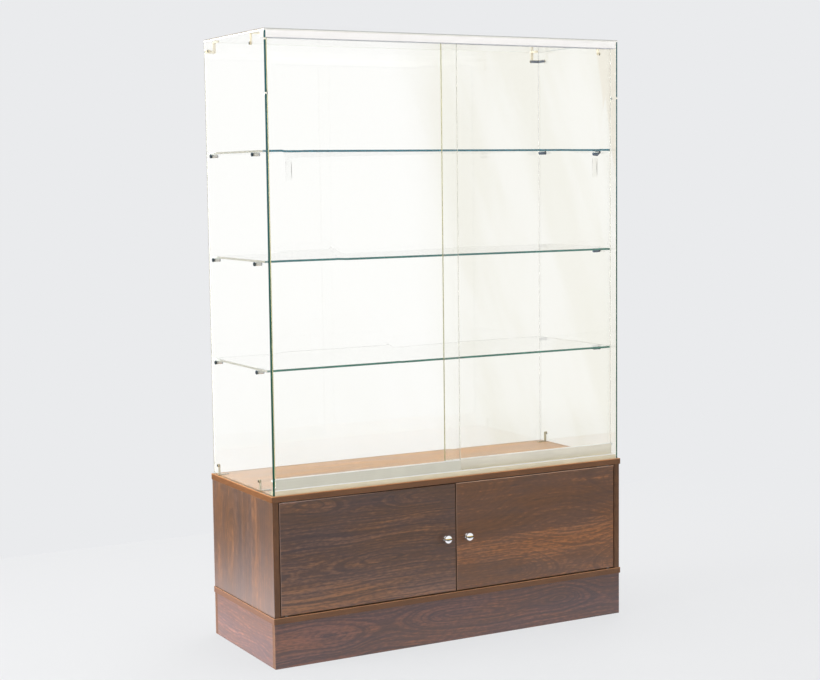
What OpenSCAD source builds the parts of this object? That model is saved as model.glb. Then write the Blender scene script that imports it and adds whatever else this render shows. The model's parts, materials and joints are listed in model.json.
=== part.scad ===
// Glass display case on a cupboard base, with sliding glass doors above and hinged doors below.
// Millimetres. X is the width, the doors face -Y and +Z is up.
// The origin is on the floor, under the middle of the whole case with its knobs.

/* [Case] */
// Width of the wood slabs, the widest part of the case
case_w = 1200; // [1000:10:1400]
// Depth of the wood slabs from front edge to back edge
case_d = 450; // [400:5:550]
// Height of the upper face of the glass top
case_h = 1800; // [1790:10:2000]

/* [Cupboard base] */
// Height of the plinth
plinth_h = 130; // [100:5:180]
// Clear height inside the cupboard
cupboard_h = 332; // [250:2:400]
// Thickness of the laminated boards
board_t = 18; // [17:1:20]
// Thickness of the edging strips
edge_t = 1.5; // [1:0.5:2]
// How far the slabs stand out past the boards below and between them
slab_lip = 3; // [1:0.5:8]
// Thickness of the cupboard's back panel
back_t = 8; // [4:1:10]
// Distance from the back edge to the back panel's groove
back_in = 12; // [8:1:30]
// Depth of the groove that holds the back panel
groove = 6; // [3:0.5:8]
// Distance from the closed hinged doors to the centre divider
divider_gap = 4; // [3:0.5:30]

/* [Joinery] */
// Diameter of the dowels
dowel_d = 8; // [6:1:10]
// Length of a dowel in the board's end
dowel_long = 18; // [14:1:25]
// Length of a dowel in the face of the other board
dowel_short = 10; // [8:1:11]
// Distance from the front and back edges to the outer dowels of the upright boards
dowel_in = 60; // [55:5:90]
// Distance from the middle to the outer dowels of the plinth's long boards
dowel_out = 400; // [200:10:460]
// Distance of the plinth's corner dowels above and below its middle
dowel_z = 28; // [15:1:35]

/* [Hinged doors] */
// Gap around each hinged door
door_gap = 3; // [2.5:0.5:4]
// Distance from a door's outer edge to its hinge pin
pivot_in = 18; // [17:1:24]
// Diameter of the hinge pins
pin_d = 5; // [4:0.5:6]
// Length of the pin inside its bush
pin_in = 7.5; // [5:0.5:8]
// Length of the hinge plates along the door's edge
hinge_l = 46; // [40:1:60]
// Width of the hinge plates
hinge_w = 12; // [10:1:14]
// Thickness of the hinge plates
hinge_t = 2; // [1.5:0.5:3]
// Distance of the hinge screws from the hinge pin
hinge_screw_in = [12, 34];
// Outer diameter of the hinge bushes
bush_d = 9; // [8:0.5:11]
// Depth of the hinge bushes in the slabs
bush_l = 9; // [8.5:0.5:11]
// Diameter of the bush flanges
flange_d = 13; // [12:0.5:16]
// Thickness of the bush flanges
flange_t = 1; // [0.5:0.25:1.5]

/* [Knobs] */
// Distance of each knob from the middle of the case
knob_x = 37; // [30:1:80]
// Diameter of the knob's head
knob_d = 26; // [20:1:32]
// How far the knob stands out from the door
knob_reach = 26; // [20:1:35]
// Diameter of the knob's foot
knob_foot_d = 17; // [12:1:19]
// Thickness of the knob's foot
knob_foot_t = 3; // [2.5:0.5:5]
// Diameter of the knob's neck
knob_neck_d = 10; // [8:1:12]
// Height of the knob's domed head
knob_head_h = 11; // [7:0.5:13]

/* [Catches] */
// Distance of each magnetic catch from the middle of the case
catch_x = 46; // [42:1:120]
// Length of the catch body
catch_l = 34; // [28:1:44]
// Height of the catch body
catch_h = 16; // [12:1:20]
// Depth of the catch body from front to back
catch_depth = 24; // [18:1:40]
// Depth of the magnet in the catch body
magnet_depth = 10; // [6:1:14]
// Plastic around the magnet in the front of the catch
magnet_in = 3; // [2:0.5:4]
// Length of each screw ear on the catch
ear_l = 12; // [11:1:16]
// Thickness of the screw ears
ear_t = 3; // [2.5:0.5:5]
// Height of the strike plates
strike_h = 10; // [8:1:12]
// Thickness of the strike plates
strike_t = 1.5; // [1:0.5:3]
// Distance between the two screws of a strike plate
strike_screw_step = 18; // [12:1:22]
// Running gap between a magnet and its strike plate
strike_gap = 0.3; // [0.2:0.1:0.5]

/* [Glass] */
// Thickness of every glass panel
glass_t = 6; // [5:1:7]
// How far the glass stands in from the slab's sides and front
glass_in = 7; // [5:0.5:12]
// How far the back panel stands in from the slab's back edge
glass_back_in = 4; // [3:0.5:10]
// Gap in the glass corners
glass_gap = 0.5; // [0.2:0.1:0.8]
// Underside of the lowest shelf above the base
shelf_first = 348; // [300:2:360]
// Step from shelf to shelf
shelf_step = 308; // [290:2:310]
// Gap between the rear sliding door and the shelves
shelf_front_gap = 5; // [3:0.5:30]
// Gap between the shelves and the back panel
shelf_back_gap = 6; // [2:1:15]
// Gap between the shelves and each side panel
shelf_side_gap = 1.5; // [1:0.5:3]

/* [Shelf supports] */
// Distance of the front holes from the slab's front edge
hole_front = 102; // [90:1:130]
// Distance of the rear holes from the slab's back edge
hole_rear = 40; // [38:1:60]
// Diameter of the peg under the shelf
peg_d = 11; // [9:1:14]
// Length of the peg
peg_l = 20; // [17:1:26]
// Height of the flat on the peg above its axis
peg_flat = 3.5; // [3:0.25:4]
// Length of the soft pad on the peg
pad_l = 14; // [10:1:16]
// Width of the soft pad
pad_w = 7; // [5:0.5:8]
// Thickness of the soft pad
pad_t = 2; // [1:0.25:3]
// Width of the chamfer at the peg's free end
peg_chamfer = 1; // [0.5:0.25:1.5]
// Diameter of the cap outside the glass
support_cap_d = 12; // [10:1:16]
// Thickness of the cap outside the glass
support_cap_t = 3; // [2:0.5:4]
// Diameter of the bolt that holds the peg
support_bolt_d = 5; // [4:0.5:5.5]
// Length of that bolt inside the peg
support_bolt_in = 10; // [8:1:12]

/* [Glass connectors] */
// Width of the metal angle strips
angle_w = 9; // [8:0.5:12]
// Thickness of the metal angle strips
angle_t = 3; // [2:0.5:4]
// Distance from the corner to the bolt in the upright glass
angle_rise = 29; // [24:1:34]
// Distance from the corner to the hole in the other leg
angle_reach = 28; // [24:1:34]
// Diameter of the bolt caps
cap_d = 10; // [9:0.5:12]
// Thickness of the bolt caps
cap_t = 2.5; // [1.5:0.25:3]
// Diameter of the connector bolts
bolt_d = 4; // [3:0.5:5]

/* [Tracks] */
// Height of the top track
top_track_h = 20; // [16:1:26]
// Height of the bottom track's front lip
lip_h = 16; // [12:1:22]
// Height of the bottom track's back lip
back_lip_h = 10; // [6:1:16]
// Thickness of the track walls
wall_t = 1.6; // [1.2:0.1:1.9]
// Thickness of the bottom track's floor
track_floor_t = 2; // [1.5:0.25:3]
// Gap between a lip and the shoe behind it
lip_gap = 0.7; // [0.5:0.1:1.5]
// Distance between the two door channels
channel_step = 15; // [14.5:0.5:22]
// Clear width of a channel of the top track
channel_w = 9; // [8:0.5:9.5]
// Width of the rails that the rollers run on
rail_w = 2; // [1.5:0.25:2.5]
// Height of the rails above the track's floor
rail_h = 5; // [4:0.5:8]
// Distance between the screws of the bottom track
track_screw_step = 240; // [150:10:240]

/* [Sliding doors] */
// How far the two glass doors overlap in the middle
overlap = 45; // [30:1:80]
// Depth of the door glass in the top track
lift = 10; // [8:0.5:14]
// Width of the metal shoe
shoe_w = 11; // [10.5:0.5:12]
// Wall thickness of the metal shoe
shoe_wall = 1.25; // [1:0.25:1.5]
// Height of the shoe's top edge above the base
shoe_top = 47; // [42:1:60]
// Clearance of the shoe above the bottom track's floor
shoe_clear = 2.5; // [2:0.5:3]
// Diameter of a roller
roller_d = 14; // [13.5:0.5:15]
// Diameter of a roller in its groove
root_d = 11; // [9:0.5:11.5]
// Diameter of the roller axles
axle_d = 3; // [2.5:0.25:4]
// Distance of the rollers from the ends of the shoe
roller_in = 60; // [40:5:120]
// Distance of the finger pull's middle from the door's outer edge
pull_in = 60; // [45:1:100]
// Height of the finger pull's middle above the base
pull_z = 913; // [700:1:1000]
// Width of the ground finger pull
pull_w = 18; // [14:1:24]
// Depth of the ground finger pull
pull_depth = 3; // [1.5:0.25:3.5]
// Length of the ground finger pull
pull_l = 57; // [40:1:80]
// Diameter of the door bumpers
bumper_d = 8; // [6:0.5:10]
// Thickness of the door bumpers
bumper_t = 4; // [3:0.5:6]
// Height of the lower bumpers above the base
bumper_low = 43; // [40:1:60]
// Distance of the upper bumpers below the glass top
bumper_down = 171; // [140:1:300]

/* [Hidden] */
$fn = 48;
// Running clearance of pins and rollers
run_fit = 0.05;
// Clearance of glued, pressed and screwed pieces
tight_fit = 0.02;
// Gap between surfaces that run past each other
slide_gap = 0.3;
// Gap between the rollers and the shoe's web
web_gap = 1.5;
// How much wider a hole in the glass is than its bolt
hole_play = 0.6;
// Gap at the ends of the tracks and bolts, and between a bumper and its door
end_gap = 0.5;
// How far a cut runs out past the face that it starts in
cut = 1;

// Wood screws: head, shank, lengths and the depth of the countersink
screw_head_d = 7;
screw_shank_d = 3.5;
screw_l = 15;
strike_screw_l = 12;
door_screw_l = 15;
screw_cone = 2;

shelf_count = 3;
both_ways = [-1, 1];

// Heights
floor_z = plinth_h;
bay_z = floor_z + board_t;
top_board_z = bay_z + cupboard_h;
deck_z = top_board_z + board_t;
lid_z = case_h - glass_t;
function shelf_z(i) = deck_z + shelf_first + i * shelf_step;
// Height of the pegs' axis under a shelf
function peg_z(i) = shelf_z(i) - pad_t - peg_flat;

// Front to back, with the knobs inside the overall depth
knob_out = knob_reach - slab_lip;
front_y = -(case_d - knob_out) / 2;
back_y = front_y + case_d;
body_y = front_y + slab_lip;
glass_y0 = front_y + glass_in;
glass_y1 = back_y - glass_back_in;
rear_y = glass_y1 - glass_t;
support_ys = [front_y + hole_front, back_y - hole_rear];

// Side to side
body_x = case_w / 2 - slab_lip;
bay_x = body_x - board_t;
pane_x = case_w / 2 - glass_in;
room_x = pane_x - glass_t;

// Door channels: the left door runs in front of the right one
channel_y1 = glass_y0 + wall_t + lip_gap + shoe_w / 2;
channel_y2 = channel_y1 + channel_step;
track_y1 = channel_y2 + shoe_w / 2 + lip_gap + wall_t;
track_mid = (channel_y1 + channel_y2) / 2;
shelf_y0 = channel_y2 + glass_t / 2 + shelf_front_gap;
shelf_y1 = rear_y - shelf_back_gap;

// Sliding doors
door_x0 = room_x - bumper_t - end_gap;
slide_w = door_x0 + overlap / 2;
axle_z = deck_z + track_floor_t + rail_h + slide_gap + root_d / 2;
roller_w = shoe_w - 2 * shoe_wall - 2 * slide_gap;
web_z = axle_z + roller_d / 2 + web_gap;
gasket_t = (shoe_w - 2 * shoe_wall - glass_t) / 2;
glass_foot = web_z + shoe_wall + gasket_t;
shoe_foot = deck_z + track_floor_t + shoe_clear;
shoe_z1 = deck_z + shoe_top;
slide_top = lid_z - top_track_h + lift;

// Hinged doors
leaf_y = body_y;
leaf_t = board_t;
leaf_x0 = door_gap / 2;
leaf_x1 = bay_x - door_gap;
leaf_z0 = bay_z + door_gap;
leaf_z1 = top_board_z - door_gap;
leaf_back = leaf_y + leaf_t;
pivot_x = leaf_x1 - pivot_in;
pivot_y = leaf_y + leaf_t / 2;
knob_z = (leaf_z0 + leaf_z1) / 2;
strike_z = leaf_z1 - edge_t - strike_h / 2;
magnet_y = leaf_back + strike_t + strike_gap;

// Places of the small pieces
upright_xs = [-(body_x - board_t / 2), 0, body_x - board_t / 2];
dowel_ys = [front_y + dowel_in, (front_y + back_y) / 2, back_y - dowel_in];
plinth_dowel_xs = [-dowel_out, 0, dowel_out];
plinth_zs = [plinth_h / 2 - dowel_z, plinth_h / 2 + dowel_z];
track_screw_xs = [for (k = [-2:2]) k * track_screw_step];
connector_z = lid_z - angle_rise;
connector_x = room_x - angle_reach;
// Bolt places in the glass top: the front brackets and the rear corner connectors
lid_bolt_ys = [support_ys[0], rear_y - angle_rise];
bumper_zs = [deck_z + bumper_low, lid_z - bumper_down];

// Finishes
walnut = [0.36, 0.24, 0.17];
edging = [0.55, 0.36, 0.22];
clear = [0.72, 0.86, 0.83, 0.35];
alloy = [0.80, 0.80, 0.78];
chrome = [0.86, 0.86, 0.88];
steel = [0.62, 0.63, 0.65];
beech = [0.82, 0.68, 0.48];
nylon = [0.93, 0.93, 0.90];
soft = [0.85, 0.87, 0.87];

// A board or block between two corners
module block(a, b) {
    translate(a) cube(b - a);
}

// What is drawn for the left side, or its mirror image on the right
module on_side(right) {
    if (right) mirror([1, 0, 0]) children();
    else children();
}

// What is drawn for the left side, on both sides
module on_both_sides() {
    for (right = [false, true]) on_side(right) children();
}

// A YZ profile drawn out along X
module bar_x(x0, x1) {
    translate([x0, 0, 0]) rotate([90, 0, 90]) linear_extrude(x1 - x0) children();
}

// A hole through the left side panel
module across_pane(y, z, r) {
    translate([-pane_x - cut, y, z]) rotate([0, 90, 0]) cylinder(r = r, h = glass_t + 2 * cut);
}

// A countersunk screw pointing down, its head's top at the origin
module wood_screw(l, fit = 0) {
    head_r = screw_head_d / 2 + fit;
    shank_r = screw_shank_d / 2 + fit;
    // A hole's countersink runs out past the face
    if (fit > 0) cylinder(r = head_r, h = screw_cone);
    translate([0, 0, -screw_cone]) cylinder(r1 = shank_r, r2 = head_r, h = screw_cone);
    translate([0, 0, -l]) cylinder(r = shank_r, h = l - screw_cone / 2);
}

// A capped bolt pointing down from an outer face at the origin
module capped_bolt(d, l, head_d, head_t) {
    edge = head_t / 4;
    cylinder(d = head_d, h = head_t - edge);
    translate([0, 0, head_t - edge]) cylinder(d1 = head_d, d2 = head_d - 2 * edge, h = edge);
    translate([0, 0, -l]) cylinder(d = d, h = l + edge);
}

// Turns a piece that points down so that it points inwards from outside the left panel
module inward() {
    rotate([0, -90, 0]) children();
}

// Dowels standing upright across a joint at height z, and their holes
module upright_dowels(x, z, board_above, fit = 0) {
    up = board_above ? dowel_long : dowel_short;
    down = board_above ? dowel_short : dowel_long;
    for (y = dowel_ys) translate([x, y, z - down - fit])
        cylinder(d = dowel_d + 2 * fit, h = up + down + 2 * fit);
}

// Dowels at the lower and upper end of the cupboard's upright boards
module board_dowels(fit = 0) {
    for (x = upright_xs) {
        upright_dowels(x, bay_z, true, fit);
        upright_dowels(x, top_board_z, false, fit);
    }
}

// Dowels from the plinth's long boards into the cupboard's floor
module plinth_top_dowels(fit = 0) {
    for (x = plinth_dowel_xs, y = [body_y + board_t / 2, back_y - board_t / 2])
        translate([x, y, floor_z - dowel_long - fit])
            cylinder(d = dowel_d + 2 * fit, h = dowel_long + dowel_short + 2 * fit);
}

// Dowels in the plinth's corners, from the long boards into the ends of the short ones
module plinth_corner_dowels(fit = 0) {
    h = dowel_long + dowel_short + 2 * fit;
    on_both_sides() for (z = plinth_zs) {
        translate([-body_x + board_t / 2, body_y + board_t - dowel_short - fit, z])
            rotate([-90, 0, 0]) cylinder(d = dowel_d + 2 * fit, h = h);
        translate([-body_x + board_t / 2, back_y - board_t + dowel_short + fit, z])
            rotate([90, 0, 0]) cylinder(d = dowel_d + 2 * fit, h = h);
    }
}

// Plinth: the long boards cover the ends of the short ones
module plinth_long_board(y0) {
    color(walnut) difference() {
        block([-body_x, y0, 0], [body_x, y0 + board_t, plinth_h]);
        plinth_top_dowels(tight_fit);
        plinth_corner_dowels(tight_fit);
    }
}

module plinth_side_board(right) {
    color(walnut) difference() {
        on_side(right)
            block([-body_x, body_y + board_t, 0], [-bay_x, back_y - board_t, plinth_h]);
        plinth_corner_dowels(tight_fit);
    }
}

// Slab core inside the edging on its front and both sides
module slab_core(z) {
    block([-case_w / 2 + edge_t, front_y + edge_t, z], [case_w / 2 - edge_t, back_y, z + board_t]);
}

module slab_edging(z) {
    color(edging) difference() {
        block([-case_w / 2, front_y, z], [case_w / 2, back_y, z + board_t]);
        block([-case_w / 2 + edge_t, front_y + edge_t, z - cut],
              [case_w / 2 - edge_t, back_y + cut, z + board_t + cut]);
    }
}

// The back panel in its grooves, and the grooves with their clearance
module back_board(fit = 0) {
    y1 = back_y - back_in;
    block([-bay_x - groove, y1 - back_t - fit, bay_z - groove],
          [bay_x + groove, y1 + fit, top_board_z + groove]);
}

// Places what points up into the upper slab at the upper and lower pins of both doors
module at_pins() {
    on_both_sides() {
        translate([-pivot_x, pivot_y, top_board_z]) children();
        translate([-pivot_x, pivot_y, bay_z]) mirror([0, 0, 1]) children();
    }
}

module hinge_bush(fit = 0) {
    cylinder(d = bush_d + 2 * fit, h = bush_l + fit);
}

module cupboard_floor() {
    color(walnut) difference() {
        slab_core(floor_z);
        plinth_top_dowels(tight_fit);
        board_dowels(tight_fit);
        back_board(tight_fit);
        at_pins() hinge_bush(tight_fit);
    }
}

module cupboard_side(right) {
    color(walnut) difference() {
        on_side(right) block([-body_x, body_y, bay_z], [-bay_x, back_y, top_board_z]);
        board_dowels(tight_fit);
        back_board(tight_fit);
    }
}

module cupboard_divider() {
    color(walnut) difference() {
        block([-board_t / 2, leaf_back + divider_gap, bay_z],
              [board_t / 2, back_y - back_in - back_t - tight_fit, top_board_z]);
        board_dowels(tight_fit);
    }
}

module cupboard_back_panel() {
    color(walnut) back_board();
}

module base_top() {
    color(walnut) difference() {
        slab_core(top_board_z);
        board_dowels(tight_fit);
        back_board(tight_fit);
        at_pins() hinge_bush(tight_fit);
        screw_set(tight_fit);
    }
}

module joint_dowels() {
    color(beech) {
        plinth_top_dowels();
        plinth_corner_dowels();
        board_dowels();
    }
}

// Pin hinges: flanged bushes in the slabs, and a washer that carries the door at the bottom
module hinge_bushes() {
    color(nylon) at_pins() difference() {
        translate([0, 0, -flange_t]) {
            cylinder(d = bush_d, h = bush_l + flange_t);
            cylinder(d = flange_d, h = flange_t);
        }
        translate([0, 0, -2 * flange_t])
            cylinder(r = pin_d / 2 + run_fit, h = bush_l + 4 * flange_t);
    }
}

module hinge_washers() {
    z0 = bay_z + flange_t;
    color(steel) on_both_sides() translate([-pivot_x, pivot_y, z0]) difference() {
        cylinder(d = flange_d, h = leaf_z0 - slide_gap - z0);
        translate([0, 0, -cut]) cylinder(r = pin_d / 2 + run_fit, h = door_gap + 2 * cut);
    }
}

// Magnetic catches under the top slab, with a screw ear at each end
module catch_magnet(fit = 0) {
    block([-catch_x - catch_l / 2 + magnet_in, magnet_y - fit, top_board_z - catch_h + magnet_in - fit],
          [-catch_x + catch_l / 2 - magnet_in, magnet_y + magnet_depth + fit,
           top_board_z - magnet_in + fit]);
}

module catch_bodies() {
    ear_in = catch_depth / 6;
    color(nylon) difference() {
        on_both_sides() difference() {
            union() {
                block([-catch_x - catch_l / 2, magnet_y, top_board_z - catch_h],
                      [-catch_x + catch_l / 2, magnet_y + catch_depth, top_board_z]);
                block([-catch_x - catch_l / 2 - ear_l, magnet_y + ear_in, top_board_z - ear_t],
                      [-catch_x + catch_l / 2 + ear_l, magnet_y + catch_depth - ear_in,
                       top_board_z]);
            }
            catch_magnet(tight_fit);
        }
        screw_set(tight_fit);
    }
}

module catch_magnets() {
    color(steel) on_both_sides() catch_magnet();
}

// Wood screws in the top slab: bracket feet, bottom track and catches
module screw_set(fit = 0) {
    on_both_sides() {
        for (y = support_ys)
            translate([-connector_x, y, deck_z + angle_t]) wood_screw(screw_l, fit);
        for (e = both_ways)
            translate([-catch_x + e * (catch_l + ear_l) / 2, magnet_y + catch_depth / 2,
                       top_board_z - ear_t]) mirror([0, 0, 1]) wood_screw(screw_l, fit);
    }
    for (x = track_screw_xs)
        translate([x, track_mid, deck_z + track_floor_t]) wood_screw(screw_l, fit);
}

module wood_screws() {
    color(steel) screw_set();
}

module side_glass(right) {
    bolt_r = (bolt_d + hole_play) / 2;
    support_r = (support_bolt_d + hole_play) / 2;
    color(clear) on_side(right) difference() {
        block([-pane_x, glass_y0, deck_z], [-room_x, glass_y1, lid_z]);
        for (y = support_ys) across_pane(y, deck_z + angle_rise, bolt_r);
        for (y = lid_bolt_ys) across_pane(y, connector_z, bolt_r);
        for (i = [0:shelf_count - 1], y = support_ys) across_pane(y, peg_z(i), support_r);
    }
}

module back_glass() {
    color(clear) difference() {
        block([-room_x + glass_gap, rear_y, deck_z], [room_x - glass_gap, glass_y1, lid_z]);
        on_both_sides() translate([-connector_x, rear_y - cut, connector_z])
            rotate([-90, 0, 0]) cylinder(d = bolt_d + hole_play, h = glass_t + 2 * cut);
    }
}

module top_glass() {
    color(clear) difference() {
        block([-pane_x, glass_y0, lid_z], [pane_x, glass_y1, case_h]);
        on_both_sides() for (y = lid_bolt_ys) translate([-connector_x, y, lid_z - cut])
            cylinder(d = bolt_d + hole_play, h = glass_t + 2 * cut);
    }
}

// Glass shelf number i, counted from below
module shelf(i) {
    color(clear) block([-room_x + shelf_side_gap, shelf_y0, shelf_z(i)],
                       [room_x - shelf_side_gap, shelf_y1, shelf_z(i) + glass_t]);
}

// Shelf supports: a bolt through the side panel, a peg with a flat, and a soft pad on it
module at_supports() {
    on_both_sides() for (i = [0:shelf_count - 1], y = support_ys)
        translate([-pane_x, y, peg_z(i)]) children();
}

module shelf_support_bolts() {
    color(chrome) at_supports() inward()
        capped_bolt(support_bolt_d, glass_t + support_bolt_in, support_cap_d, support_cap_t);
}

module shelf_support_pegs() {
    color(chrome) at_supports() difference() {
        translate([glass_t, 0, 0]) rotate([0, 90, 0]) {
            cylinder(d = peg_d, h = peg_l - peg_chamfer);
            translate([0, 0, peg_l - peg_chamfer])
                cylinder(d1 = peg_d, d2 = peg_d - 2 * peg_chamfer, h = peg_chamfer);
        }
        translate([glass_t - cut, -peg_d, peg_flat]) cube([peg_l + 2 * cut, 2 * peg_d, peg_d]);
        translate([glass_t - cut, 0, 0]) rotate([0, 90, 0])
            cylinder(r = support_bolt_d / 2 + tight_fit, h = cut + support_bolt_in + end_gap);
    }
}

module shelf_support_pads() {
    color(soft) at_supports()
        translate([glass_t + (peg_l - pad_l) / 2, -pad_w / 2, peg_flat]) cube([pad_l, pad_w, pad_t]);
}

// A strip lying on a face, from the corner along X, with a round end and a hole in it
module strip(l, hole_d) {
    difference() {
        union() {
            translate([0, -angle_w / 2, 0]) cube([l, angle_w, angle_t]);
            translate([l, 0, 0]) cylinder(d = angle_w, h = angle_t);
        }
        translate([l, 0, -cut]) cylinder(r = hole_d / 2 + tight_fit, h = angle_t + 2 * cut);
    }
}

// An angle bracket in the corner of a floor and a left wall
module angle_bracket(foot_hole_d) {
    strip(angle_reach, foot_hole_d);
    rotate([0, -90, 0]) mirror([0, 0, 1]) strip(angle_rise, bolt_d);
}

module base_brackets() {
    color(chrome) difference() {
        on_both_sides() for (y = support_ys)
            translate([-room_x, y, deck_z]) angle_bracket(screw_shank_d);
        screw_set(tight_fit);
    }
}

module top_brackets() {
    color(chrome) on_both_sides()
        translate([-room_x, support_ys[0], lid_z]) mirror([0, 0, 1]) angle_bracket(bolt_d);
}

// Three-way connectors in the upper back corners, each joining back, side and top
module corner_connector() {
    translate([-room_x, rear_y, lid_z]) difference() {
        union() {
            translate([angle_reach, 0, -angle_rise]) rotate([90, 0, 0])
                cylinder(d = angle_w, h = angle_t);
            block([angle_reach - angle_w / 2, -angle_t, -angle_rise],
                  [angle_reach + angle_w / 2, 0, 0]);
            block([0, -angle_t, -angle_rise - angle_w / 2],
                  [angle_reach, 0, -angle_rise + angle_w / 2]);
            translate([angle_reach, 0, -angle_t]) rotate([0, 0, -90]) strip(angle_rise, bolt_d);
            translate([0, 0, -angle_rise]) rotate([0, 90, 0]) rotate([0, 0, -90])
                strip(angle_rise, bolt_d);
        }
        translate([angle_reach, cut, -angle_rise]) rotate([90, 0, 0])
            cylinder(r = bolt_d / 2 + tight_fit, h = angle_t + 2 * cut);
    }
}

module corner_connectors() {
    color(chrome) on_both_sides() corner_connector();
}

// Capped bolts from outside the glass into the brackets and connectors
module glass_bolt() {
    capped_bolt(bolt_d, glass_t + angle_t, cap_d, cap_t);
}

module glass_bolts() {
    color(chrome) on_both_sides() {
        for (y = support_ys) translate([-pane_x, y, deck_z + angle_rise]) inward() glass_bolt();
        for (y = lid_bolt_ys) {
            translate([-pane_x, y, connector_z]) inward() glass_bolt();
            translate([-connector_x, y, case_h]) glass_bolt();
        }
        translate([-connector_x, glass_y1, connector_z]) rotate([-90, 0, 0]) glass_bolt();
    }
}

// Top track: two channels that are open downwards, with a hollow between them
module top_track() {
    z0 = lid_z - top_track_h;
    channel_h = top_track_h - wall_t;
    rib_w = channel_step - channel_w - 2 * wall_t;
    color(alloy) bar_x(-room_x + end_gap, room_x - end_gap) difference() {
        translate([glass_y0, z0]) square([track_y1 - glass_y0, top_track_h]);
        for (y = [channel_y1, channel_y2])
            translate([y - channel_w / 2, z0 - cut]) square([channel_w, channel_h + cut]);
        translate([track_mid - rib_w / 2, z0 - cut]) square([rib_w, channel_h + cut]);
    }
}

// Bottom track: a floor with a front lip, a back lip and a rail in each channel
module bottom_track() {
    color(alloy) difference() {
        bar_x(-room_x + end_gap, room_x - end_gap) {
            translate([glass_y0, deck_z]) square([track_y1 - glass_y0, track_floor_t]);
            translate([glass_y0, deck_z]) square([wall_t, lip_h]);
            translate([track_y1 - wall_t, deck_z]) square([wall_t, back_lip_h]);
            for (y = [channel_y1, channel_y2])
                translate([y - rail_w / 2, deck_z]) square([rail_w, track_floor_t + rail_h]);
        }
        screw_set(tight_fit);
    }
}

// The left door runs in the front channel and the right one behind it
function channel(right) = right ? channel_y2 : channel_y1;

// Clear bumpers that the closed doors meet
module door_bumpers() {
    color(soft) for (right = [false, true]) on_side(right) for (z = bumper_zs)
        translate([-room_x, channel(right), z]) rotate([0, 90, 0]) {
            cylinder(d = bumper_d, h = bumper_t / 2);
            translate([0, 0, bumper_t / 2])
                cylinder(d1 = bumper_d, d2 = bumper_d / 2, h = bumper_t / 2);
        }
}

// Sliding door glass with a finger pull ground into its front face
module sliding_glass(right) {
    y0 = channel(right) - glass_t / 2;
    // A wheel of this radius grinds a pull of the stated length and depth
    wheel_r = (pull_l * pull_l / 4 + pull_depth * pull_depth) / (2 * pull_depth);
    color(clear) on_side(right) difference() {
        block([-door_x0, y0, glass_foot], [-door_x0 + slide_w, y0 + glass_t, slide_top]);
        translate([-door_x0 + pull_in - pull_w / 2, y0 + pull_depth - wheel_r, deck_z + pull_z])
            rotate([0, 90, 0]) cylinder(r = wheel_r, h = pull_w);
    }
}

module shoe_gasket(right) {
    y = channel(right);
    color(soft) on_side(right) bar_x(-door_x0, -door_x0 + slide_w) difference() {
        translate([y - glass_t / 2 - gasket_t, glass_foot - gasket_t])
            square([glass_t + 2 * gasket_t, shoe_z1 - glass_foot]);
        translate([y - glass_t / 2, glass_foot]) square([glass_t, shoe_z1]);
    }
}

// Roller axles across the shoe, and their holes
module axles(right, fit = 0) {
    past = fit > 0 ? cut : 0;
    on_side(right) for (x = [-door_x0 + roller_in, -door_x0 + slide_w - roller_in])
        translate([x, channel(right) + shoe_w / 2 + past, axle_z]) rotate([90, 0, 0])
            cylinder(r = axle_d / 2 + fit, h = shoe_w + 2 * past);
}

// Metal shoe: two walls and a web, with the glass above the web and the rollers below it
module shoe(right) {
    y = channel(right);
    color(alloy) difference() {
        on_side(right) bar_x(-door_x0, -door_x0 + slide_w) {
            translate([y - shoe_w / 2, shoe_foot]) square([shoe_wall, shoe_z1 - shoe_foot]);
            translate([y + shoe_w / 2 - shoe_wall, shoe_foot])
                square([shoe_wall, shoe_z1 - shoe_foot]);
            translate([y - shoe_w / 2, web_z]) square([shoe_w, shoe_wall]);
        }
        axles(right, tight_fit);
    }
}

module roller_axles(right) {
    color(steel) axles(right);
}

// Grooved roller on its axle
module roller(right, inner) {
    x = inner ? -door_x0 + slide_w - roller_in : -door_x0 + roller_in;
    bore_r = axle_d / 2 + run_fit;
    half = roller_w / 2;
    root_half = rail_w / 2 + slide_gap;
    rim_half = root_half + slide_gap;
    shape = [[bore_r, -half], [roller_d / 2, -half], [roller_d / 2, -rim_half],
             [root_d / 2, -root_half], [root_d / 2, root_half],
             [roller_d / 2, rim_half], [roller_d / 2, half], [bore_r, half]];
    color(nylon) on_side(right) translate([x, channel(right), axle_z])
        rotate([90, 0, 0]) rotate_extrude() polygon(shape);
}

// Places what points up out of a hinged door at its upper and lower pin
module at_door_pins(right) {
    on_side(right) {
        translate([-pivot_x, pivot_y, leaf_z1]) children();
        translate([-pivot_x, pivot_y, leaf_z0]) mirror([0, 0, 1]) children();
    }
}

// Hinge plate let into the door's edge, and its pocket
module hinge_plate(fit = 0) {
    translate([-hinge_w / 2 - fit, -hinge_w / 2 - fit, -hinge_t])
        cube([hinge_l + 2 * fit, hinge_w + 2 * fit, hinge_t + fit]);
}

module hinge_screws(right, fit = 0) {
    at_door_pins(right) for (x = hinge_screw_in) translate([x, 0, 0]) wood_screw(door_screw_l, fit);
}

// Screws of a strike plate, pointing from the back of the door to its front
module strike_screws(right, fit = 0) {
    on_side(right) for (e = both_ways)
        translate([-catch_x + e * strike_screw_step / 2, leaf_back + strike_t, strike_z])
            rotate([-90, 0, 0]) wood_screw(strike_screw_l, fit);
}

// Pockets and holes of a hinged door
module leaf_cuts(right) {
    at_door_pins(right) hinge_plate(tight_fit);
    hinge_screws(right, tight_fit);
    strike_screws(right, tight_fit);
    on_side(right) translate([-knob_x, leaf_y - cut, knob_z]) rotate([-90, 0, 0])
        cylinder(r = bolt_d / 2 + run_fit, h = leaf_t + 2 * cut);
}

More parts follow.
